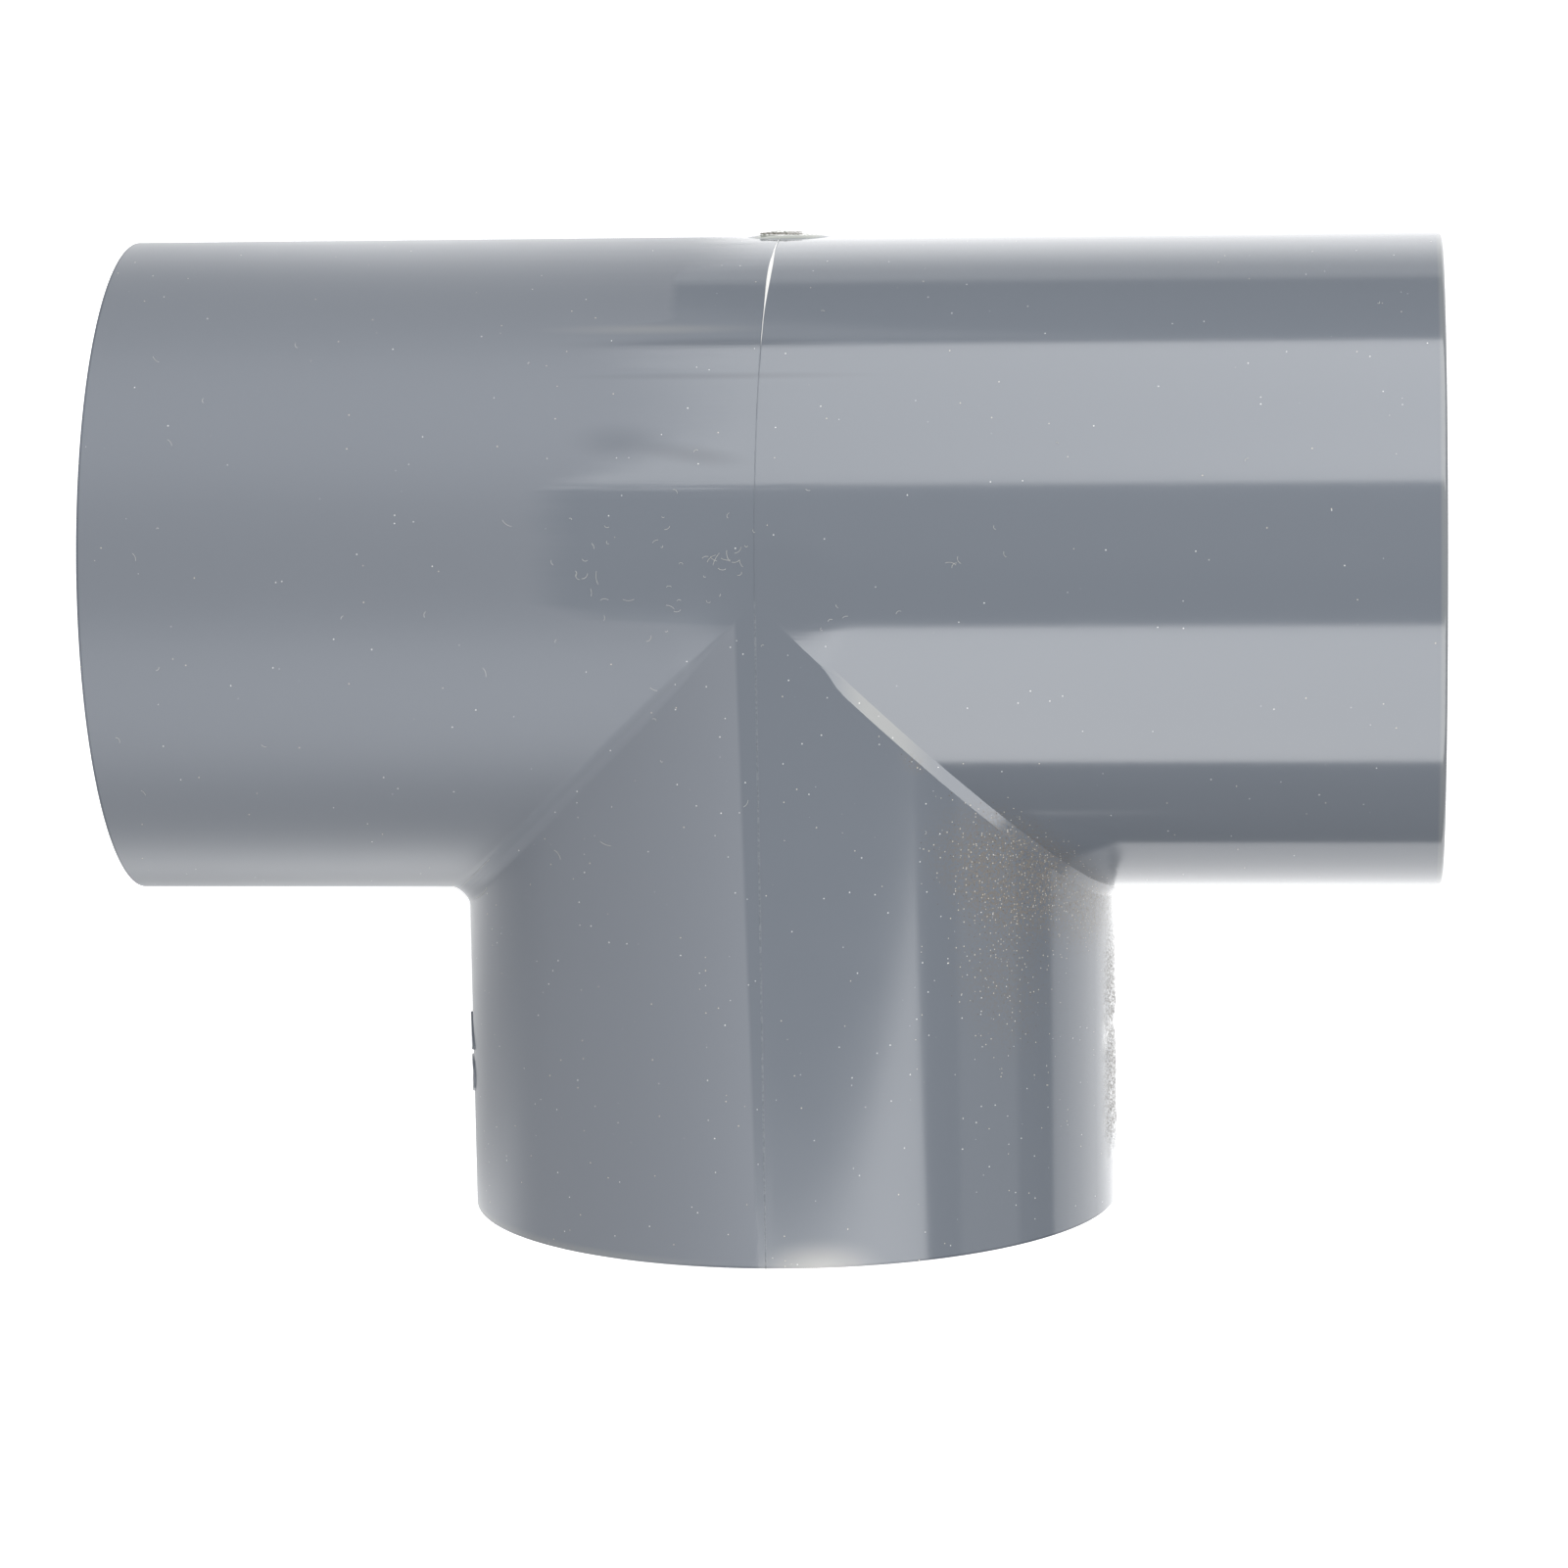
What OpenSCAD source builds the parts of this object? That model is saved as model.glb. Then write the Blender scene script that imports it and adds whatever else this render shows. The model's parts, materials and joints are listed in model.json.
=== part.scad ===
// Equal 90 degree pipe tee, injection moulded in PVC-U, with three plain sockets
// for solvent cement. It lies flat: the run along X, the branch towards -Y,
// and the origin under the middle of its outline, on the surface it rests on.

/* [Pipe and sockets] */
// Outside diameter of the pipe that the sockets take
pipe_d = 40; // [32:1:50]
// How much wider than the pipe a socket is, for the cement
socket_clearance = 0.2; // [0.1:0.05:0.6]
// Depth of a socket, from its mouth to the pipe stop
socket_depth = 26; // [18:1:36]
// Wall round a socket
socket_wall = 4.4; // [3:0.1:7]
// Height of the shoulder that the pipe stops against
stop_step = 2.1; // [1.2:0.1:3.5]

/* [Body] */
// Distance of the run's pipe stops beyond the pipe's radius, from the branch axis
run_land = 3.1; // [2:0.1:8]
// Distance of the branch's pipe stop beyond the pipe's radius, from the run axis
branch_land = 2.7; // [2:0.1:8]
// Width of the bevel where the run meets the branch, on its left side
left_crotch_bevel = 1.1; // [0.5:0.1:2]
// Width of the bevel where the run meets the branch, on its right side
right_crotch_bevel = 0.7; // [0.5:0.1:2]

/* [Edges] */
// Lead-in chamfer inside each mouth
mouth_chamfer = 1.2; // [0.4:0.1:2]
// Chamfer on the inner edge of each pipe stop
stop_chamfer = 0.4; // [0.2:0.1:0.8]
// Rounding of the outer rim at the right end of the run
right_rim_round = 0.45; // [0.1:0.05:1]
// Rounding of the outer rims at the left end of the run and at the branch
plain_rim_round = 0.15; // [0.1:0.05:1]

/* [Mould marks] */
// Width of the flash line where the two halves of the mould met
seam_w = 0.3; // [0.2:0.05:0.8]
// Height of the flash line above the wall
seam_h = 0.08; // [0.05:0.01:0.2]
// Diameter of the swelling round the gate, at the back of the run
gate_d = 6.4; // [4:0.1:9]
// Height of the swelling round the gate
gate_swell = 0.35; // [0.2:0.05:0.8]
// Width of the broken sprue stub on the gate
stub_w = 3.2; // [2:0.1:3.8]
// Thickness of the broken sprue stub
stub_t = 1.8; // [1:0.1:3]
// Height of the broken sprue stub above the swelling
stub_h = 0.25; // [0.1:0.05:0.8]

/* [Hidden] */

$fn = 96;

// Straight steps in a rim's rounding, and in a quarter of a crotch bevel
rim_steps = 5;
bevel_steps = 24;
// How late a crotch bevel starts to narrow on its way up to the crown
crown_taper = 16;
// The last angle of a crotch bevel, just short of the crown where it vanishes
bevel_end = 85;
// How far a cut runs past the face that it opens
over = 1;

socket_r = (pipe_d + socket_clearance) / 2;
body_r = socket_r + socket_wall;
waterway_r = socket_r - stop_step;
run_stop = pipe_d / 2 + run_land;
branch_stop = pipe_d / 2 + branch_land;
run_half = run_stop + socket_depth;
branch_reach = branch_stop + socket_depth;
gate_top = body_r + gate_swell + stub_h;
rest_z = body_r + seam_h;
axis_y = (branch_reach - gate_top) / 2;

// Turns a shape that is modelled along +Z to lie along +X, -X or -Y
module to_right() rotate([0, 90, 0]) children();
module to_left() rotate([0, -90, 0]) children();
module to_front() rotate([90, 0, 0]) children();

// Outline points of a rim's rounding, from the wall towards the end face
function rim_arc(wall_r, end, round) =
    [for (i = [0 : rim_steps])
        let (a = 90 * i / rim_steps)
        [wall_r - round * (1 - cos(a)), end - round * (1 - sin(a))]];

// A round bar from z = 0 to z = length, whose far rim is rounded
module rounded_bar(bar_r, length, round)
    rotate_extrude()
        polygon(concat([[0, 0], [bar_r, 0]], rim_arc(bar_r, length, round), [[0, length]]));

// The outside of the run and branch, as far from their axes as bar_r says
module run_bar(bar_r) {
    to_right() rounded_bar(bar_r, run_half, right_rim_round);
    to_left() rounded_bar(bar_r, run_half, plain_rim_round);
}

module branch_bar(bar_r)
    to_front() rounded_bar(bar_r, branch_reach, plain_rim_round);

// Width of a crotch bevel at an angle up from the side of the branch: it keeps its
// full width most of the way, and narrows to nothing at the crown
function bevel_at(width, a) = width * (1 - pow(sin(abs(a)), crown_taper));

// The bevel along one mitre of the outside: a slice of the oval that the mitre
// plane cuts out of both walls, moved outwards to bridge them, with buried ends
module crotch_bevel(width, side)
    rotate([90, 0, -45 * side])
        linear_extrude(height = 2 * width, center = true)
            polygon(concat([[0, 0]],
                [for (i = [-bevel_steps : bevel_steps])
                    let (a = bevel_end * i / bevel_steps)
                    [side * (2 * body_r * cos(a) + bevel_at(width, a)) / sqrt(2),
                     body_r * sin(a)]]));

// The flash line in the plane x = 0, round the run and along the branch
module seam()
    intersection() {
        cube([seam_w, 2 * (branch_reach + over), 2 * rest_z + over], center = true);
        union() {
            to_right() cylinder(h = seam_w + over, r = rest_z, center = true);
            branch_bar(rest_z);
        }
    }

// The gate at the back of the run: a low round swelling, as the cap of a ball
// that is sunk in the wall, and the sprue's broken stub
module gate() {
    ball_r = (pow(gate_d / 2, 2) + pow(gate_swell, 2)) / (2 * gate_swell);
    translate([0, body_r + gate_swell - ball_r, 0]) sphere(r = ball_r);
    translate([-stub_w / 2, body_r, -stub_t / 2])
        cube([stub_w, gate_top - body_r, stub_t]);
}

// One socket with its chamfered mouth and pipe stop, cut along +Z
module socket_cut(stop) {
    translate([0, 0, stop]) cylinder(h = socket_depth + over, r = socket_r);
    translate([0, 0, stop + socket_depth - mouth_chamfer])
        cylinder(h = mouth_chamfer + over, r1 = socket_r, r2 = socket_r + mouth_chamfer + over);
    translate([0, 0, stop - stop_chamfer])
        cylinder(h = 2 * stop_chamfer, r1 = waterway_r, r2 = waterway_r + 2 * stop_chamfer);
}

// The waterway between the three pipe stops
module waterway_cut() {
    to_right() cylinder(h = 2 * run_stop, r = waterway_r, center = true);
    to_front() cylinder(h = branch_stop, r = waterway_r);
}

module tee_body()
    color("dimgray")
        translate([0, axis_y, rest_z])
            difference() {
                union() {
                    run_bar(body_r);
                    branch_bar(body_r);
                    crotch_bevel(left_crotch_bevel, -1);
                    crotch_bevel(right_crotch_bevel, 1);
                    seam();
                    gate();
                }
                to_right() socket_cut(run_stop);
                to_left() socket_cut(run_stop);
                to_front() socket_cut(branch_stop);
                waterway_cut();
            }

tee_body();
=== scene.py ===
"""An equal pipe tee in grey PVC-U on a white table, seen from above."""

import json
import random

from math import atan2, cos, hypot, pi, radians, sin, sqrt

import bmesh
import bpy
from mathutils import Euler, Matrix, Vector, noise
from mathutils.bvhtree import BVHTree


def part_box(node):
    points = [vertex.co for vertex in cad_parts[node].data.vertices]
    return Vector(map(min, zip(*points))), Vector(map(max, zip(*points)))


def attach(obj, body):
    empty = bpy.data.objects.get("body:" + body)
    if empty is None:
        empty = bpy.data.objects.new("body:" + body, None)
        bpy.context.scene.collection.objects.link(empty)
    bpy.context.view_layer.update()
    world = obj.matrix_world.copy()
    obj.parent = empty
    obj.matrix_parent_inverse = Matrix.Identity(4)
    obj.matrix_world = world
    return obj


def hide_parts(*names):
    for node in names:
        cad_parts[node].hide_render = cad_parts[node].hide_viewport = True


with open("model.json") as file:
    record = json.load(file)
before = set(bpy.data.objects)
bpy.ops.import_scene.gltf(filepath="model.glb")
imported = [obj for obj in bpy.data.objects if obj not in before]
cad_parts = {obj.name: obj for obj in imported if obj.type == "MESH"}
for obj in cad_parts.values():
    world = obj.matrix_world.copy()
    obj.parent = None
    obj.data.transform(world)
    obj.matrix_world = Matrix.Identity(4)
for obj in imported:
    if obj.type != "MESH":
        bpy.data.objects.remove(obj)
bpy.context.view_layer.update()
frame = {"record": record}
scene = bpy.context.scene
mm = 0.001

# The camera looks down on the tee, a little from behind and from its right, as the photograph
# does. It comes first, because the marks on the tee are placed by the pixels they are seen at.
photo_width = 1601
camera_data = bpy.data.cameras.new("camera")
camera_data.sensor_width = 36
camera_data.lens = 130.11
camera_data.clip_end = 10
camera = bpy.data.objects.new("camera", camera_data)
camera.location = (0.040619, 0.061540, 0.447842)
camera.rotation_euler = Euler([radians(turn) for turn in (-8.9994, 5.403, -0.9153)])
scene.collection.objects.link(camera)
scene.camera = camera
scene.view_settings.view_transform = "Standard"

# The moulding: run, branch and their sockets are one injection moulding in PVC-U. Each arm's
# wall is turned about its axis, the arms are cut along the mitres where they meet, and the
# bevel of each crotch is drawn along its mitre from the run's wall to the branch's.
mounts = {mount["name"]: mount for mount in frame["record"]["mounts"]}
low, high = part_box("tee_body")
axis_y, axis_z = mounts["run_socket_right"]["pos_m"][1:]
socket_r = mounts["run_socket_right"]["dims"]["r_mm"] * mm
seam_h = 0.08 * mm
body_r = axis_z - seam_h
stop_step = 2.1 * mm
waterway_r = socket_r - stop_step
run_half = high[0]
branch_reach = axis_y - low[1]
socket_depth = 26 * mm
mouth_chamfer = 1.2 * mm
stop_chamfer = 0.4 * mm
right_rim_round = 0.3 * mm
plain_rim_round = 0.06 * mm
edge_round = 0.12 * mm
left_bevel_width = 0.95 * mm
right_bevel_width = 0.66 * mm
turn_steps = 120
merge_gap = 2e-6


def outline_wall(part, along, mouth, rim_round):
    """The outline of an arm's wall above its axis, from the waterway round the mouth to the outside."""
    stop = mouth - socket_depth
    points = [
        (0, waterway_r),
        (stop - stop_chamfer, waterway_r),
        (stop, waterway_r + stop_chamfer),
        (stop, socket_r),
        (mouth - mouth_chamfer, socket_r),
        (mouth, socket_r + mouth_chamfer),
        (mouth, body_r),
        (0, body_r),
    ]
    verts = [part.verts.new(along * reach + Vector((0, 0, radius))) for reach, radius in points]
    for first, last in zip(verts, verts[1:]):
        part.edges.new((first, last))
    rim, inner_corners = verts[6:7], verts[1:6]
    for corners, offset, segments in ((rim, rim_round, 5), (inner_corners, edge_round, 3)):
        bmesh.ops.bevel(
            part,
            geom=corners,
            affect="VERTICES",
            offset=offset,
            segments=segments,
            profile=0.5,
            material=-1,
        )


def turn_wall(along, mouth, rim_round, axis, angle):
    """An arm's wall, turned from the crown about the arm's axis, in a bmesh of its own."""
    part = bmesh.new()
    outline_wall(part, along, mouth, rim_round)
    outline = part.verts[:] + part.edges[:]
    bmesh.ops.spin(part, geom=outline, axis=axis, cent=(0, 0, 0), angle=angle, steps=turn_steps)
    return part


def cut_mitre(part, side, keep_run):
    """Cuts an arm along a mitre plane, and gives the edges of the cut on the outside."""
    cut = bmesh.ops.bisect_plane(
        part,
        geom=part.verts[:] + part.edges[:] + part.faces[:],
        dist=1e-7,
        plane_co=(0, 0, 0),
        plane_no=(side, 1, 0),
        clear_inner=keep_run,
        clear_outer=not keep_run,
    )["geom_cut"]
    edges = [item for item in cut if isinstance(item, bmesh.types.BMEdge)]
    return [edge for edge in edges if Vector(edge.verts[0].co.yz).length > socket_r]


def move_off_mitre(verts, side, on_run, on_branch, width_at):
    """Moves points along both walls, by shares of the bevel's width at their height."""
    for vert in set(verts):
        width = width_at(min(1, abs(vert.co.z) / body_r))
        vert.co.x += side * on_run * width
        vert.co.y -= on_branch * width


def draw_bevel(part, edges, side, path, creases, width_at):
    """Extrudes a mitre's edges step by step across its bevel, from the run to the branch."""
    move_off_mitre([vert for edge in edges for vert in edge.verts], side, *path[0], width_at)
    for index, (last, step) in enumerate(zip(path, path[1:]), start=1):
        drawn = bmesh.ops.extrude_edge_only(part, edges=edges)["geom"]
        verts = [item for item in drawn if isinstance(item, bmesh.types.BMVert)]
        edges = [item for item in drawn if isinstance(item, bmesh.types.BMEdge)]
        move_off_mitre(verts, side, step[0] - last[0], step[1] - last[1], width_at)
        for edge in edges:
            edge.smooth = index not in creases


def soft_path(borders, steps):
    """The way across a bevel with soft borders: a smooth curve, with a lap on each wall."""
    handle = (4 - borders) / 3
    lap = borders + 0.3
    curve = []
    for step in range(steps + 1):
        t = step / steps
        run = (1 - t) ** 3 * borders + 3 * (1 - t) ** 2 * t * handle
        branch = t**3 * borders + 3 * t**2 * (1 - t) * handle
        curve.append((run, branch))
    return [(lap, 0)] + curve + [(0, lap)]


def held(value):
    """A value, kept between 0 and 1."""
    return min(1, max(0, value))


def left_bevel(height):
    """The left bevel's width: it narrows slowly towards the crown, and ends just short of it."""
    return left_bevel_width * (1 - 0.3 * height**2) * (1 - height**60)


def right_bevel(height):
    """The right bevel's width: the same all the way, but it stops short of the crown."""
    start, full = 0.19, 0.25
    t = held((sqrt(1 - height**2) - start) / (full - start))
    return right_bevel_width * t * t * (3 - 2 * t)


tee = bmesh.new()
joined = bpy.data.meshes.new("joined")
flat_path = [(1.25, 0), (1, 0), (0, 1), (0, 1.25)]
for side, rim_round, path, creases, width_at in (
    (-1, plain_rim_round, soft_path(1.4, 10), (), left_bevel),
    (1, right_rim_round, flat_path, (1, 2), right_bevel),
):
    along_run = Vector((side, 0, 0))
    back = turn_wall(along_run, run_half, rim_round, (1, 0, 0), -pi)
    front = turn_wall(along_run, run_half, rim_round, (1, 0, 0), pi)
    draw_bevel(front, cut_mitre(front, side, True), side, path, creases, width_at)
    branch = turn_wall(Vector((0, -1, 0)), branch_reach, plain_rim_round, (0, 1, 0), side * pi)
    mitre = cut_mitre(branch, side, False)
    move_off_mitre([vert for edge in mitre for vert in edge.verts], side, *path[-1], width_at)
    for part in (back, front, branch):
        part.to_mesh(joined)
        part.free()
        tee.from_mesh(joined)
bmesh.ops.remove_doubles(tee, verts=tee.verts[:], dist=merge_gap)
bmesh.ops.recalc_face_normals(tee, faces=tee.faces[:])
crease_on_mitre, crease_elsewhere = radians(1.5), radians(36)
for edge in tee.edges:
    on_mitre = all(abs(abs(vert.co.x) + vert.co.y) < merge_gap for vert in edge.verts)
    if edge.calc_face_angle(0) > (crease_on_mitre if on_mitre else crease_elsewhere):
        edge.smooth = False

# the scuffed side of the branch: its long edges are divided there, and the points are pushed
# in and out where the plastic is bruised
scuff_from, scuff_to, scuff_fade = -30 * mm, -46 * mm, 2 * mm
scuff_cuts = 160
dent_at, dent_half = -35.5 * mm, 1.6 * mm
scuffed = []
for edge in tee.edges:
    first, last = (vert.co for vert in edge.verts)
    on_wall = all(abs(hypot(co.x, co.z) - body_r) < 0.01 * mm for co in (first, last))
    is_long = abs(first.y - last.y) > 15 * mm
    if on_wall and is_long and min(first.x, last.x) > 0.95 * body_r and first.y < 0:
        scuffed.append(edge)
divided = bmesh.ops.subdivide_edges(tee, edges=scuffed, cuts=scuff_cuts, use_grid_fill=True)
for vert in (item for item in divided["geom_inner"] if isinstance(item, bmesh.types.BMVert)):
    away = Vector((vert.co.x, 0, vert.co.z)).normalized()
    ends = held((scuff_from - vert.co.y) / scuff_fade) * held((vert.co.y - scuff_to) / scuff_fade)
    sides = held((0.24 - abs(away.z)) / 0.08)
    grain = noise.noise(vert.co / mm * 1.1) * 0.10 + noise.noise(vert.co / mm * 3.1) * 0.06
    dent = 0.20 * max(0, 1 - abs(vert.co.y - dent_at) / dent_half)
    vert.co += away * ends * sides * (grain - dent) * mm


def ridge_scale(across, along):
    """The share of the flash line's full size at a place: most at the back, little on the branch."""
    at_back = held((across - 16 * mm) / (6 * mm))
    uneven = 0.75 + 0.5 * noise.noise(Vector((along / mm * 0.9, 0, 3)))
    return (0.45 + 0.55 * at_back) * uneven


# the flash line in the mould's parting plane: along the branch's crown, round the back of the
# run and along the branch's underside, as a low ridge that is sunk in the wall
seam_half = 0.15 * mm
seam_sunk = 0.2 * mm
seam = bmesh.new()
ridge = [
    (-seam_half, -seam_sunk),
    (-seam_half, 0),
    (-0.35 * seam_half, seam_h),
    (0.35 * seam_half, seam_h),
    (seam_half, 0),
    (seam_half, -seam_sunk),
]
profile = [seam.verts.new((across, -branch_reach, body_r + up)) for across, up in ridge]
loop = [seam.edges.new((first, last)) for first, last in zip(profile, profile[1:] + profile[:1])]
seam.faces.new(profile)


def extrude_seam(loop, reach, steps):
    """Draws the ridge straight along the branch, in steps."""
    for _ in range(steps):
        drawn = bmesh.ops.extrude_edge_only(seam, edges=loop)["geom"]
        verts = [item for item in drawn if isinstance(item, bmesh.types.BMVert)]
        bmesh.ops.translate(seam, verts=verts, vec=(0, reach / steps, 0))
        loop = [item for item in drawn if isinstance(item, bmesh.types.BMEdge)]
        loop = [edge for edge in loop if abs(edge.verts[0].co.y - edge.verts[1].co.y) < merge_gap / 2]
    return loop


seam_steps = 120
loop = extrude_seam(loop, branch_reach, seam_steps)
turned = bmesh.ops.spin(
    seam,
    geom=loop + list({vert for edge in loop for vert in edge.verts}),
    axis=(1, 0, 0),
    cent=(0, 0, 0),
    angle=-pi,
    steps=turn_steps,
)["geom_last"]
loop = [item for item in turned if isinstance(item, bmesh.types.BMEdge)]
extrude_seam(loop, -branch_reach, seam_steps)
seam.faces.new([vert for vert in seam.verts if vert.co.y < merge_gap - branch_reach and vert.co.z < 0])
for vert in seam.verts:
    radial = Vector((0, max(0, vert.co.y), vert.co.z))
    up = radial.length - body_r
    along = vert.co.y if vert.co.y < 0 else body_r * atan2(vert.co.y, vert.co.z)
    scale = ridge_scale(vert.co.y, along)
    vert.co.x *= scale * 0.7
    if up > 0:
        vert.co += radial.normalized() * up * (scale - 1)
seam.to_mesh(joined)
seam.free()
tee.from_mesh(joined)

# the gate at the back of the run: a low swelling, as the cap of a ball that is sunk in the
# wall, and on it the stub of the sprue where it was torn off
gate_half = 3.2 * mm
gate_swell = 0.35 * mm
gate_x = 0.6 * mm
gate_height_share = 0.56
gate_steps = 48
stub_size = (3.0 * mm, 0.9 * mm, 1.7 * mm)
stub_top = 0.12 * mm
stub_cuts = 7
stub_seed = 7
ball_r = (gate_half**2 + gate_swell**2) / (2 * gate_swell)
cap_spread = 5.2 * mm / ball_r
gate = bmesh.new()
cap_steps = 12
arc = [gate.verts.new((0, body_r + gate_swell, 0))]
for step in range(1, cap_steps + 1):
    turn = cap_spread * step / cap_steps
    sunk = ball_r * (1 - cos(turn))
    arc.append(gate.verts.new((ball_r * sin(turn), body_r + gate_swell - sunk, 0)))
    gate.edges.new(arc[-2:])
bmesh.ops.spin(
    gate,
    geom=gate.verts[:] + gate.edges[:],
    axis=(0, 1, 0),
    cent=(0, 0, 0),
    angle=2 * pi,
    steps=gate_steps,
    use_merge=True,
)
bmesh.ops.remove_doubles(gate, verts=gate.verts[:], dist=merge_gap)
bmesh.ops.holes_fill(gate, edges=gate.edges[:])
bmesh.ops.scale(gate, verts=gate.verts[:], vec=(1, 1, gate_height_share))
bmesh.ops.translate(gate, verts=gate.verts[:], vec=(gate_x, 0, 0))
gate.to_mesh(joined)
gate.free()
tee.from_mesh(joined)
stub = bmesh.new()
bmesh.ops.create_cube(stub, size=1)
bmesh.ops.subdivide_edges(stub, edges=stub.edges[:], cuts=stub_cuts, use_grid_fill=True)
bmesh.ops.scale(stub, verts=stub.verts[:], vec=stub_size)
noise.seed_set(stub_seed)
for vert in stub.verts:
    grain = noise.noise_vector(vert.co / mm * 1.7)
    slant = 0.35 * mm * abs(vert.co.x) / stub_size[0]
    vert.co += Vector((grain.x * 0.25 * mm, grain.y * 0.2 * mm - slant, grain.z * 0.2 * mm))
stub_middle = body_r + gate_swell + stub_top - stub_size[1] / 2
bmesh.ops.translate(stub, verts=stub.verts[:], vec=(0, stub_middle, 0))
stub.to_mesh(joined)
stub.free()
tee.from_mesh(joined)

# raised plain figures on the left side of the branch: the pipe's diameter in millimetres
figure_height = 6.2 * mm
figure_start = 33.9 * mm
figure_proud = 0.14 * mm
figure_turn = radians(4)
figure_cuts = 4
figures = bpy.data.curves.new("figures", "FONT")
figures.body = "40"
figures.size = figure_height
figures.extrude = figure_proud
figures_object = bpy.data.objects.new("figures", figures)
figures_mesh = bpy.data.meshes.new_from_object(figures_object)
bpy.data.objects.remove(figures_object)
mark = bmesh.new()
mark.from_mesh(figures_mesh)
bmesh.ops.remove_doubles(mark, verts=mark.verts[:], dist=merge_gap)
long_edges = [edge for edge in mark.edges if edge.calc_length() > 1 * mm]
bmesh.ops.subdivide_edges(mark, edges=long_edges, cuts=figure_cuts)
bmesh.ops.triangulate(mark, faces=mark.faces[:])
for vert in mark.verts:
    turn = figure_turn + vert.co.y / body_r
    radius = body_r + vert.co.z
    vert.co = (-radius * cos(turn), -figure_start - vert.co.x, radius * sin(turn))
for face in mark.faces:
    face.normal_flip()
mark.to_mesh(joined)
mark.free()
tee.from_mesh(joined)

bmesh.ops.recalc_face_normals(tee, faces=tee.faces[:])
for face in tee.faces:
    face.smooth = True
bmesh.ops.translate(tee, verts=tee.verts[:], vec=(0, axis_y, axis_z))
mesh = bpy.data.meshes.new("tee_moulding")
tee.to_mesh(mesh)
wall = BVHTree.FromBMesh(tee)
tee.free()
moulding = bpy.data.objects.new("tee_moulding", mesh)
scene.collection.objects.link(moulding)
even_normals = moulding.modifiers.new("even_normals", "WEIGHTED_NORMAL")
even_normals.keep_sharp = True


class Shade:
    """A value on its way through a material: arithmetic on it adds Math nodes."""

    def __init__(self, finish, socket):
        self.finish = finish
        self.socket = socket

    def math(self, operation, *others):
        return self.finish.node("Math", {"operation": operation}, dict(enumerate((self, *others))))

    def __add__(self, other):
        return self.math("ADD", other)

    def __sub__(self, other):
        return self.math("SUBTRACT", other)

    def __rsub__(self, other):
        return self.finish.node("Math", {"operation": "SUBTRACT"}, {0: other, 1: self})

    def __mul__(self, other):
        return self.math("MULTIPLY", other)

    def __neg__(self):
        return self * -1

    __radd__ = __add__
    __rmul__ = __mul__

    def rise(self, start, end):
        """Goes smoothly from 0 at one value to 1 at another."""
        inputs = {"Value": self, "From Min": start, "From Max": end}
        return self.finish.node("MapRange", {"interpolation_type": "SMOOTHSTEP"}, inputs)


class Finish:
    """The nodes of a material or of the world, all made by one method."""

    def __init__(self, owner):
        owner.use_nodes = True
        self.tree = owner.node_tree
        self.tree.nodes.clear()

    def node(self, kind, settings=None, inputs=None, output=0):
        """Adds a node, with its settings and its sockets' values or links, and gives an output."""
        made = self.tree.nodes.new("ShaderNode" + kind)
        for name, value in (settings or {}).items():
            setattr(made, name, value)
        for name, value in (inputs or {}).items():
            if isinstance(value, Shade):
                self.tree.links.new(value.socket, made.inputs[name])
            else:
                made.inputs[name].default_value = value
        return Shade(self, made.outputs[output]) if made.outputs else None

    def split(self, vector):
        """The X, Y and Z of a vector."""
        made = self.node("SeparateXYZ", None, {0: vector})
        return [Shade(self, socket) for socket in made.socket.node.outputs]

    def mix(self, factor, first, last):
        """Mixes two colours."""
        return self.node("Mix", {"data_type": "RGBA"}, {0: factor, 6: first, 7: last}, output=2)

    def ramp(self, value, stops):
        """A curve through (place, value) stops, for a value between 0 and 1."""
        made = self.node("ValToRGB", None, {0: value})
        elements = made.socket.node.color_ramp.elements
        while len(elements) < len(stops):
            elements.new(0.5)
        for element, (place, level) in zip(elements, stops):
            element.position = place
            element.color = (level, level, level, 1)
        return made


# the plastic: grey PVC-U, glossy on the right and duller on the left; x, y and z are
# millimetres from the crossing of the arms' axes
pvc_material = bpy.data.materials.new("tee_pvc")
pvc = Finish(pvc_material)
to_axes = {
    0: pvc.node("TexCoord", output=3),
    "Location": (0, -axis_y / mm, -axis_z / mm),
    "Scale": (1 / mm, 1 / mm, 1 / mm),
}
centred = pvc.node("Mapping", None, to_axes)
x, y, z = pvc.split(centred)


def stretched(scale, **inputs):
    """Noise over the tee, with its own scale along each axis, as 0 to 1."""
    scaled = pvc.node("Mapping", None, {0: centred, "Scale": scale})
    return pvc.node("TexNoise", None, {"Vector": scaled, "Scale": 1, "Detail": 2, **inputs})


def oval(centre, half, turn):
    """A soft oval over the tee as seen from above, 1 in its middle and 0 outside."""
    inputs = {
        0: centred,
        "Location": (*centre, 0),
        "Rotation": (0, 0, radians(turn)),
        "Scale": (*half, 1e6),
    }
    shifted = pvc.node("Mapping", {"vector_type": "TEXTURE"}, inputs)
    distance = pvc.node("VectorMath", {"operation": "LENGTH"}, {0: shifted}, output=1)
    return distance.rise(1, 0)


def over_run(stops):
    """A curve through (place, value) stops along Y, for places within 25 and values within 20."""
    reach, most = 25, 20
    shares = [((along + reach) / (2 * reach), level / (2 * most) + 0.5) for along, level in stops]
    return pvc.ramp((y + reach) * (1 / (2 * reach)), shares) * (2 * most) - most


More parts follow.
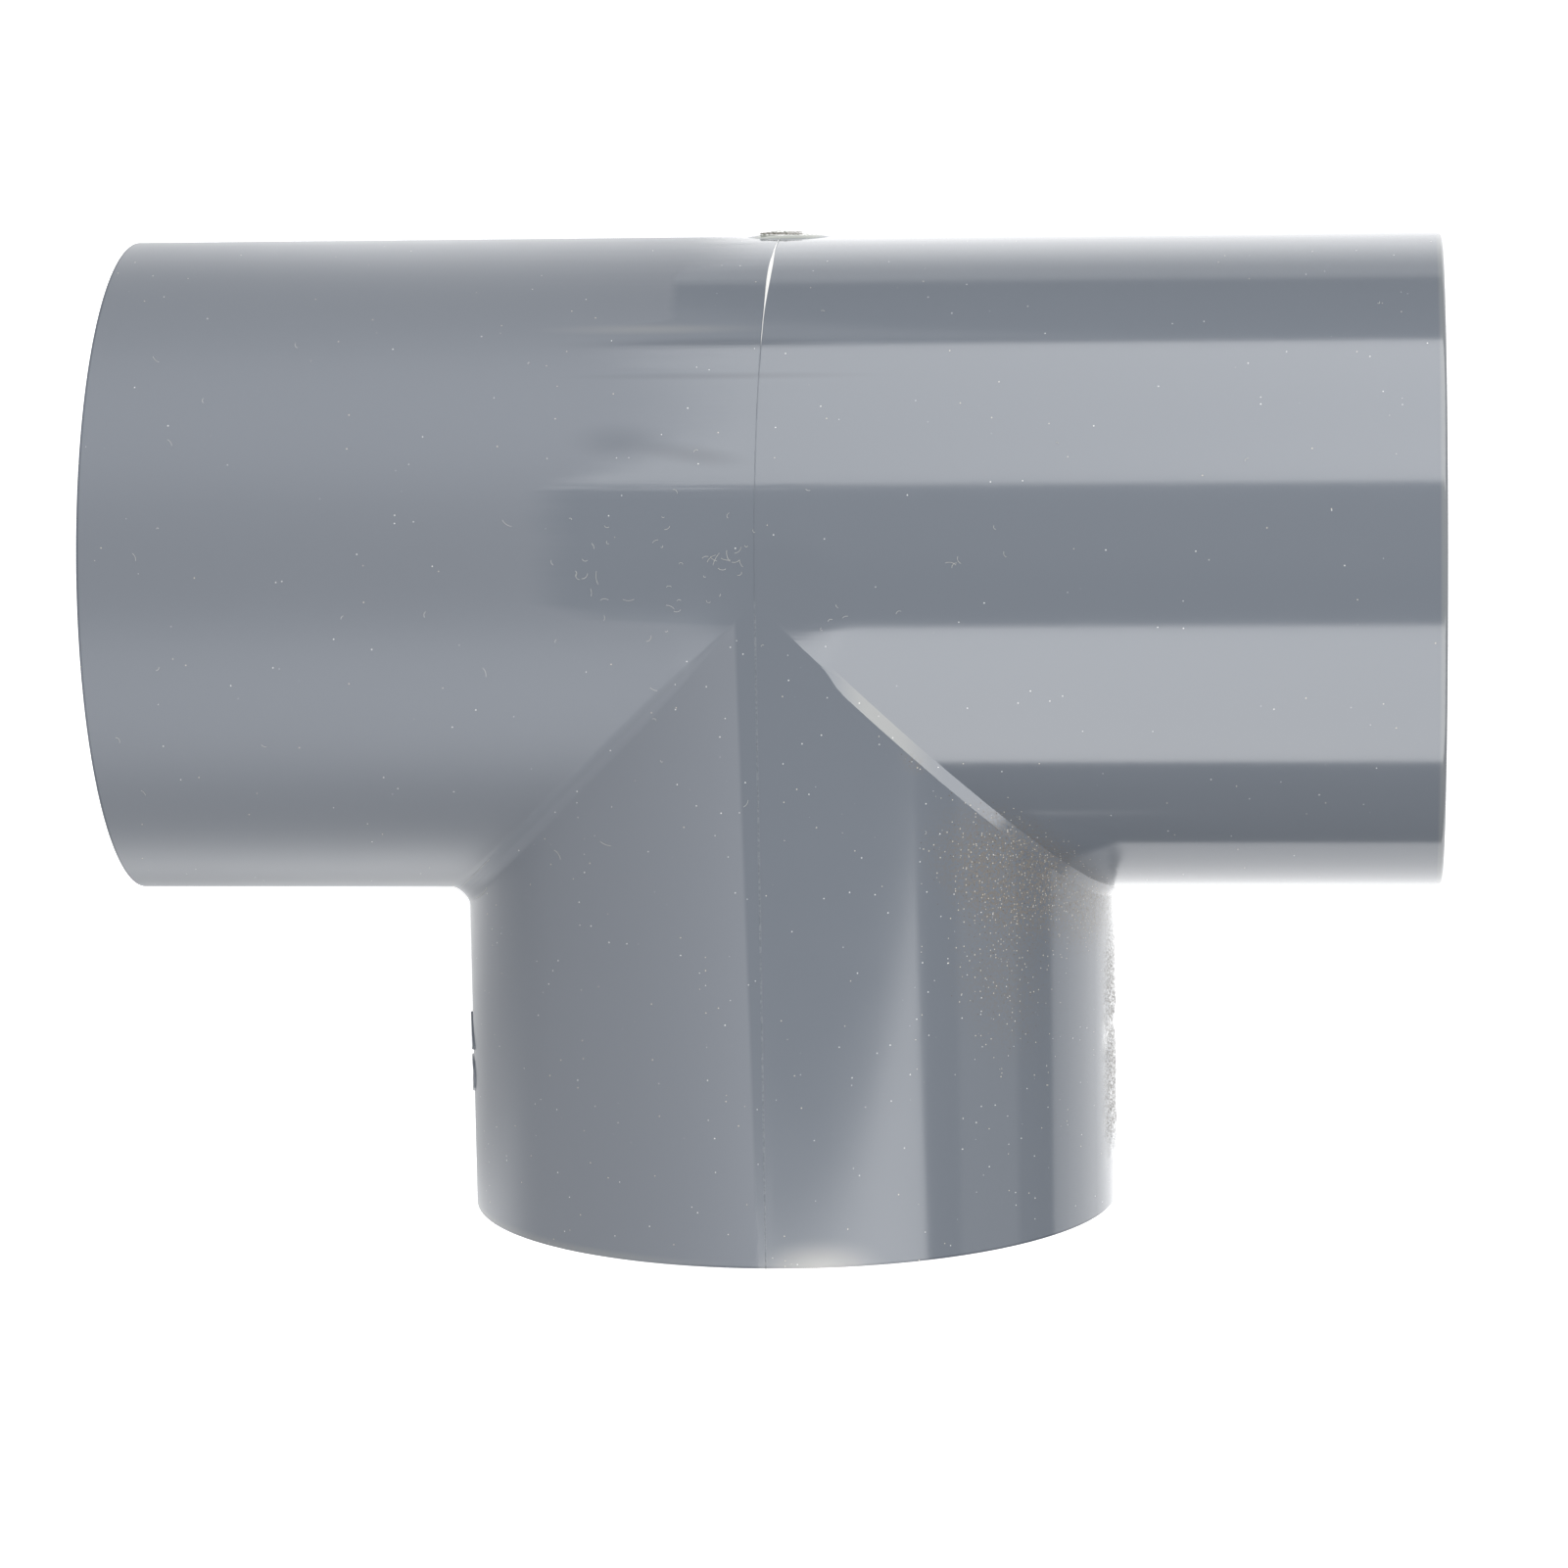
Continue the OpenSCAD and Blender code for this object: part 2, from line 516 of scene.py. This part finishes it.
def flecks(scale, share, radius):
    """Specks of a radius in a share of a 3-D pattern's cells, and a random value for each speck."""
    cell = pvc.node("TexVoronoi", None, {"Vector": centred, "Scale": scale})
    chance, tint = pvc.split(Shade(pvc, cell.socket.node.outputs[1]))[:2]
    size = radius * scale
    here = cell.rise(size, size * 0.6) * (share - chance).math("GREATER_THAN", 0)
    return here, tint


# masks from 0 to 1: the branch, the side seen from above, and the walls outside the sockets
on_branch = (-y - x.math("ABSOLUTE")).rise(-0.3, 0.3)
on_top = z.rise(-2, 4)
outside = (x * x * on_branch + y * y * (1 - on_branch) + z * z).rise(23.8**2, 24.2**2)

# the gloss: the run is glossy to the right of a border that wanders and softens along y
streaks = stretched((0.06, 0.9, 0.9))
border_on_run = over_run(
    [
        (-9, 1), (-6, -1), (-1.8, -1), (-1.2, -11), (0, -14.8), (8.2, -14.8), (9.5, -10),
        (12, -5), (15, -5), (17.2, -7.5), (18.9, -8.5), (19.4, -6.7), (22.4, -6.9), (23.5, -3),
    ]
)
border_softness = over_run(
    [
        (-9, 3), (-6, 6), (-1.8, 7), (-1.2, 3), (0, 2.2), (8.2, 2.2), (10, 4.5), (15, 8),
        (18.9, 7), (19.4, 0.5), (22.4, 0.5), (23.5, 4),
    ]
)
from_border = x - border_on_run + (streaks - 0.5) * border_softness
gloss_on_run = from_border.math("DIVIDE", border_softness).rise(-1, 1)
gloss_on_branch = (x + 1.5 + y * 0.0195).rise(-0.18, 0.18)
gloss = gloss_on_branch * on_branch + gloss_on_run * (1 - on_branch)

# the surface's unevenness, and the shallow sink mark in the crown where the axes cross
uneven = (stretched((0.3, 0.3, 0.3)) - 0.5) * 0.03
fine_streaks = stretched((0.05, 3.2, 3.2))
restless = x.rise(-24, -14) * x.rise(12, -2) * (1 - on_branch)
sink_mark = oval((0, -0.5), (7, 7), 0) * on_top * 0.27
height = restless * ((streaks - 0.5) * 0.008 + (fine_streaks - 0.5) * 0.003) - sink_mark

# the plastic's colours where it is clean, dull, stained or stressed, those of dirt, and those of painted
# highlights and painted shade
base = (0.17, 0.19, 0.22, 1)
worn_base = (0.177, 0.194, 0.222, 1)
worn_branch = (0.191, 0.208, 0.237, 1)
edge_highlight_colour = (0.27, 0.28, 0.28, 1)
pale_streak = (0.24, 0.25, 0.26, 1)
dark_stain_and_shade = (0.115, 0.13, 0.155, 1)
wedge_highlight_colour = (0.52, 0.51, 0.49, 1)
pale_dirt = (0.64, 0.59, 0.49, 1)
dark_dirt_and_shade = (0.09, 0.07, 0.05, 1)
brown_film = (0.19, 0.165, 0.135, 1)
stress_white_and_highlight = (0.85, 0.85, 0.83, 1)
olive = (0.33, 0.35, 0.29, 1)

# streaks and stains across the run, a painted highlight along the right bevel and on the rims, and
# painted shade along the rims' edges
off_mitre = (x + y).math("ABSOLUTE")
pale = oval((-8, 18.85), (10, 0.45), 0) * 0.6
# painted highlight: a pale strip on the right bevel, and pale lines on the right rim and on the branch's
# rim
painted_edge_highlight = off_mitre.rise(0.7, 0.6) * x.rise(13.5, 9.5) * x.rise(5, 8)
painted_edge_highlight = painted_edge_highlight + outside * (x.rise(48.5, 48.75) + y.rise(-48.0, -48.5) * x.rise(0, -14)) * 0.5
stained = oval((-9.4, 11.2), (5, 1.7), -4) * 0.55 + oval((-4.4, 10.35), (4.8, 1), -7) * 0.75
stained = stained + oval((-2.5, 15.7), (13, 0.35), 0) * 0.55 + oval((-4, 17.85), (13, 0.55), 0) * 0.6
# painted shade: dark lines along the edges of the run's rims and the branch's rim
painted_rim_shade = x.rise(-48.9, -48.96) + x.rise(48.98, 49.04)
painted_rim_shade = painted_rim_shade + y.rise(-48.5, -48.56) * (x.rise(-9, -2) * 0.7 + 0.2)
colour = pvc.mix(gloss, pvc.mix(on_branch, worn_base, worn_branch), base)
colour = pvc.mix(pale, colour, pale_streak)
colour = pvc.mix((stained + painted_rim_shade).math("MINIMUM", 1), colour, dark_stain_and_shade)
colour = pvc.mix(painted_edge_highlight, colour, edge_highlight_colour)
# painted highlight: a pale patch near the branch's mouth, where the light wedge ends
colour = pvc.mix(oval((3.8, -49), (5.5, 2.8), 0) * outside * on_top * 0.75, colour, wedge_highlight_colour)

# the dust in the right crotch, its haze at the branch's edge, and loose specks everywhere
dust_grain = stretched((5, 5, 5))
dust = oval((18, -21), (9, 5.5), -40) * 1.4 + oval((17, -28), (4.5, 9), 8) * 0.5
dust = dust + oval((11, -12), (1.6, 0.9), -45) * 0.5
haze = oval((23.4, -25.5), (3, 4), 0)
dust = (dust + haze * 0.8).math("MINIMUM", 1) * on_top * outside
scattered = oval((17, -27), (14, 18), 0) * on_top
scuffed_brown = x.rise(23.5, 24.4) * y.rise(-46, -42) * y.rise(-25, -31) * dust_grain.rise(0.42, 0.55)
film = dust * dust_grain.rise(0.4, 0.6)
crumbs, crumb_tint = flecks(5.5, dust * 0.5, 0.058)
specks, speck_tint = flecks(2.2, scattered * 0.16 + on_branch * 0.1 + 0.048, 0.055)
colour = pvc.mix(film * 0.7, colour, brown_film)
colour = pvc.mix(crumbs * 0.85, colour, pvc.mix(crumb_tint.rise(0.5, 0.6), pale_dirt, dark_dirt_and_shade))
colour = pvc.mix(specks * 0.95, colour, pvc.mix(speck_tint.rise(0.3, 0.4), pale_dirt, stress_white_and_highlight))
colour = pvc.mix(scuffed_brown * 0.8, colour, brown_film)

# the flash line, white where it stands proud at the back, and the torn stub of the gate, with painted
# highlights on it and painted shade in its crease
flash_half = y.rise(24.3, 22.8) * y.rise(19.5, 22.6) * 0.12 + 0.02
flash = (flash_half - x.math("ABSOLUTE")).rise(-0.03, 0.03) * y.rise(17.5, 18.5) * z.rise(1, 4)
dots = dust_grain.rise(0.4, 0.7) * 0.08 + 0.01
dotted = x.math("ABSOLUTE").rise(0.1, 0.05) * on_branch * on_top * dots
at_gate = (x - 0.6).math("ABSOLUTE").rise(3, 1.8)
# painted highlight on the stub, and painted shade in the crease just below its torn top
stub_highlight = y.rise(24.62, 24.72) * at_gate * dust_grain.rise(0.35, 0.6)
stub_crease_shade = y.rise(24.72, 24.78) * y.rise(24.92, 24.86) * at_gate
colour = pvc.mix(y.rise(24.38, 24.56) * at_gate * 0.7, colour, olive)
colour = pvc.mix((flash + dotted + stub_highlight).math("MINIMUM", 1), colour, stress_white_and_highlight)
colour = pvc.mix(stub_crease_shade * 0.7, colour, dark_dirt_and_shade)

# dull and polished plastic, mixed by the gloss; dirt is matt on both
matt = (crumbs + specks + scuffed_brown + film * 0.5).math("MINIMUM", 1)
bump = pvc.node("Bump", None, {"Height": height, "Distance": mm, "Strength": 1.0})
shared = {"Base Color": colour, "Normal": bump, "IOR": 1.5}
dull_roughness = uneven + matt * 0.3 + 0.36
dull_inputs = {**shared, "Roughness": dull_roughness, "Specular IOR Level": 0.27}
dull = pvc.node("BsdfPrincipled", None, dull_inputs)
blurred = x.rise(0, -5) * y.rise(6, 0) * (1 - on_branch) * 0.07
polished_roughness = uneven + matt * 0.4 + blurred + 0.11
polished = pvc.node("BsdfPrincipled", None, {**shared, "Roughness": polished_roughness})
surface = pvc.node("MixShader", None, {0: gloss, 1: dull, 2: polished})
pvc.node("OutputMaterial", None, {"Surface": surface})
mesh.materials.append(pvc_material)
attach(moulding, "root")
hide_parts("tee_body")

# The threads: loose fibres that lie on the plastic, and two pale ones at the left crotch that are
# painted highlights. Each is a thin thread drawn over the wall along the pixels of the photograph where
# it is seen.
thread_radius = 0.012 * mm
thread_lift = 0.02 * mm
thread_steps = 7
straight_from = 30

# each thread is (px, py, heading, length): the pixel where it starts, its heading in degrees and its
# length in pixels; the last two are painted highlights, pale threads along the creases of the left
# crotch's bevel
threads = [
    (156, 364, 40, 9), (171, 449, 60, 8), (208, 407, 75, 6), (135, 565, 70, 9), (513, 531, 30, 12),
    (493, 682, 75, 10), (118, 753, 60, 8), (144, 807, 50, 7), (267, 760, 20, 6), (613, 859, 20, 12),
    (566, 868, 60, 12), (759, 824, -60, 9), (687, 500, 50, 7), (588, 586, 50, 8), (594, 591, -50, 9),
    (609, 583, 80, 14), (563, 572, 60, 6), (603, 601, 90, 8), (680, 618, 30, 10), (688, 624, -20, 8),
    (660, 655, -60, 9), (664, 702, 20, 8), (613, 613, 5, 9), (636, 612, -5, 12), (722, 574, -35, 12),
    (728, 577, -60, 14), (736, 570, 10, 10), (742, 562, 70, 12), (747, 574, -20, 9), (750, 565, -50, 10),
    (755, 572, 60, 8), (725, 568, 30, 9), (733, 580, 0, 9), (717, 570, -10, 7), (965, 575, 15, 12),
    (978, 568, 60, 9), (972, 580, -40, 8), (915, 627, -20, 7), (1025, 563, 60, 7),
    (471, 906, -45, 41), (486, 917, -48, 16),
]

# short threads at random: some all over the tee, and more round the middle of the run
random_areas = [((110, 1440), (280, 880), 16), ((560, 900), (520, 660), 28)]
chance = random.Random(7)
for across, down, count in random_areas:
    for _ in range(count):
        px = chance.uniform(*across)
        py = chance.uniform(*down)
        heading = chance.uniform(0, 180)
        length = chance.uniform(3, 7)
        threads.append((px, py, heading, length))


def seen_at(px, py):
    """The point of the tee that is seen at a pixel of the photograph, lifted a little off the wall."""
    across = (px / photo_width - 0.5) * camera_data.sensor_width / camera_data.lens
    up = (0.5 - py / photo_width) * camera_data.sensor_width / camera_data.lens
    sight = camera.rotation_euler.to_matrix() @ Vector((across, up, -1))
    point, normal, _, _ = wall.ray_cast(camera.location, sight.normalized())
    return point + normal * thread_lift if point else None


thread_curve = bpy.data.curves.new("lint", "CURVE")
thread_curve.dimensions = "3D"
thread_curve.bevel_depth = thread_radius
thread_curve.bevel_resolution = 1
thread_curve.use_fill_caps = True
for px, py, heading, length in threads:
    bend = 0
    if length < straight_from:
        bend = chance.choice((-1, 1)) * chance.uniform(300, 900) / length
    knots = []
    for step in range(thread_steps + 1):
        heading_here = radians(heading + bend * (step / thread_steps - 0.5))
        knots.append(seen_at(px, py))
        px += cos(heading_here) * length / thread_steps
        py += sin(heading_here) * length / thread_steps
    if all(knots):
        spline = thread_curve.splines.new("POLY")
        spline.points.add(len(knots) - 1)
        for point, knot in zip(spline.points, knots):
            point.co = (*knot, 1)
            point.radius = 1
thread_object = bpy.data.objects.new("lint", thread_curve)
thread_mesh = bpy.data.meshes.new_from_object(thread_object)
bpy.data.objects.remove(thread_object)
lint = bpy.data.objects.new("tee_lint", thread_mesh)
scene.collection.objects.link(lint)
lint_and_highlight_material = bpy.data.materials.new("lint")
thread_finish = Finish(lint_and_highlight_material)
thread_grain = thread_finish.node("TexNoise", None, {"Vector": thread_finish.node("TexCoord", output=3), "Scale": 900})
thread_colour = thread_finish.mix(thread_grain, (0.4, 0.39, 0.35, 1), (0.75, 0.75, 0.71, 1))
thread_surface = thread_finish.node("BsdfPrincipled", None, {"Base Color": thread_colour, "Roughness": 0.8})
thread_finish.node("OutputMaterial", None, {"Surface": thread_surface})
thread_mesh.materials.clear()
thread_mesh.materials.append(lint_and_highlight_material)
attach(lint, "root")

# The table is a white sheet, which the camera sees as white apart from the tee's soft shadow.
# Gloss shows it as bright as it is in the photograph, and dark past its edges.
table_mesh = bpy.data.meshes.new("table")
table_half = 2
sheet = bmesh.new()
bmesh.ops.create_grid(sheet, x_segments=1, y_segments=1, size=table_half)
sheet.to_mesh(table_mesh)
sheet.free()
table = bpy.data.objects.new("table", table_mesh)
scene.collection.objects.link(table)
paper_material = bpy.data.materials.new("paper")
paper = Finish(paper_material)

# what gloss sees of it: lit between the sheet's edges, dimmer to the left of the branch and far
# from the middle, and with strips of light past its front and back edges on the left
ground_x, ground_y = paper.split(paper.node("NewGeometry"))[:2]
sheet_right, sheet_front, sheet_back = 0.125, -0.118, 0.084
lit = ground_x.math("ABSOLUTE").rise(sheet_right + 0.004, sheet_right - 0.004)
lit = lit * ground_y.rise(sheet_front - 0.003, sheet_front + 0.003)
lit = lit * ground_y.rise(sheet_back + 0.013, sheet_back)
# painted shadow: the tee's shadow on the sheet, to the left of the branch, as gloss sees it
left_of_branch = ground_x.rise(-0.02, -0.034)
left_of_branch = left_of_branch * ground_y.rise(-0.018, -0.032) * ground_y.rise(-0.05, -0.038)
lit = lit * (1 - left_of_branch * 0.4)
fading = ground_x.math("ABSOLUTE").rise(0.04, 0.13) * 0.7
at_left = ground_x.rise(-0.01, -0.034)
brightest = 1.95 - ground_y.rise(0.052, 0.078) + at_left * 0.25 - ground_x.rise(-0.034, -0.056) * 0.5
brightest = brightest + at_left * ground_y.rise(-0.04, -0.055) * 1.3
beyond_left = at_left * (ground_y.rise(0.084, 0.097) * 0.6 + ground_y.rise(-0.114, -0.122) * 1.3)
strength = lit * (brightest - fading * ground_y.rise(0.06, 0.03)) + beyond_left + 0.06
reflected = paper.node("Emission", None, {"Strength": strength})
diffuse = paper.node("BsdfDiffuse", None, {"Color": (0.9, 0.9, 0.9, 1)})
glow = paper.node("Emission", None, {"Strength": 0.65})
white = paper.node("AddShader", None, {0: diffuse, 1: glow})
is_glossy = paper.node("LightPath", output=3)
is_camera = paper.node("LightPath", output=0)
seen = paper.node("MixShader", None, {0: is_glossy, 1: diffuse, 2: reflected})
seen = paper.node("MixShader", None, {0: is_camera, 1: seen, 2: white})
paper.node("OutputMaterial", None, {"Surface": seen})
table_mesh.materials.append(paper_material)

# The studio: even light from a pale room and an overhead lamp, and the softboxes and walls
# that only gloss shows, where the photograph's reflections place them round the tee.
world = bpy.data.worlds.new("studio")
scene.world = world
room = Finish(world)
to_camera = room.node("LightPath", output=0)
to_gloss = room.node("LightPath", output=3)
room_colour = room.mix(to_camera, (0.73, 0.73, 0.73, 1), (1, 1, 1, 1))
room_colour = room.mix(to_gloss, room_colour, (0.06, 0.06, 0.06, 1))
background = room.node("Background", None, {"Color": room_colour})
room.node("OutputWorld", None, {"Surface": background})

lamp_data = bpy.data.lights.new("overhead", "AREA")
lamp_data.shape = "SQUARE"
lamp_data.size = 1.2
lamp_data.energy = 14
lamp = bpy.data.objects.new("overhead", lamp_data)
lamp.location = (0.3, 0.6, 1.4)
lamp.rotation_euler = Vector(lamp.location).to_track_quat("Z", "Y").to_euler()
lamp.visible_glossy = False
lamp.visible_camera = False
scene.collection.objects.link(lamp)


def glowing_panel(name, corners, strengths):
    """A panel that only gloss shows, with (place, strength) pairs along X."""
    panel_mesh = bpy.data.meshes.new(name)
    panel = bmesh.new()
    panel.faces.new([panel.verts.new(corner) for corner in corners])
    panel.to_mesh(panel_mesh)
    panel.free()
    material = bpy.data.materials.new(name)
    cloth = Finish(material)
    across = cloth.split(cloth.node("NewGeometry"))[0]
    left, right = strengths[0][0], strengths[-1][0]
    peak = max(strength for place, strength in strengths)
    stops = [((place - left) / (right - left), strength / peak) for place, strength in strengths]
    level = cloth.ramp((across - left) * (1 / (right - left)), stops)
    emission = cloth.node("Emission", None, {"Strength": level * peak})
    cloth.node("OutputMaterial", None, {"Surface": emission})
    panel_mesh.materials.append(material)
    made = bpy.data.objects.new(name, panel_mesh)
    scene.collection.objects.link(made)
    made.visible_camera = False
    made.visible_diffuse = False
    made.visible_shadow = False


# the softboxes hang round the run's axis, between two angles from straight up, in degrees
softbox_distance = 1.2
back_strengths = [
    (-1.6, 0.3), (-0.6, 0.5), (-0.4, 1.1), (-0.3, 1.8), (-0.12, 4), (0.07, 5.3), (0.7, 5), (1.33, 4),
]
front_strengths = [
    (-1.6, 0.3), (-0.6, 0.7), (-0.3, 3), (-0.2, 5.7), (-0.15, 6.4), (-0.09, 5.4), (-0.05, 5.7),
    (0.7, 5.1), (1.33, 4.1),
]
low_strengths = [(-1.6, 0.4), (-0.6, 0.6), (-0.3, 1.5), (-0.2, 2.3), (-0.1, 0)]
for name, near, far, strengths in (
    ("softbox_back", 33, 87.5, back_strengths),
    ("softbox_front", -15.6, -66.8, front_strengths),
    ("softbox_low", -67.5, -84, low_strengths),
):
    left, right = strengths[0][0], strengths[-1][0]
    corners = []
    for angle, ends in ((near, (left, right)), (far, (right, left))):
        away = softbox_distance * sin(radians(angle))
        up = softbox_distance * cos(radians(angle))
        corners += [(end, axis_y + away, axis_z + up) for end in ends]
    glowing_panel(name, corners, strengths)

# the walls are even, so both ends of their strengths are the same
wall_x, wall_half, wall_bottom, wall_top = 2, 2, -0.3, 0.95
right_strength, left_strength = 0.6, 0.45
corners = [
    (wall_x, -wall_half, wall_bottom),
    (wall_x, wall_half, wall_bottom),
    (wall_x, wall_half, wall_top),
    (wall_x, -wall_half, wall_top),
]
mirrored = [(-across, along, up) for across, along, up in corners]
glowing_panel("right_wall", corners, [(0, right_strength), (wall_x, right_strength)])
glowing_panel("left_wall", mirrored, [(-wall_x, left_strength), (0, left_strength)])
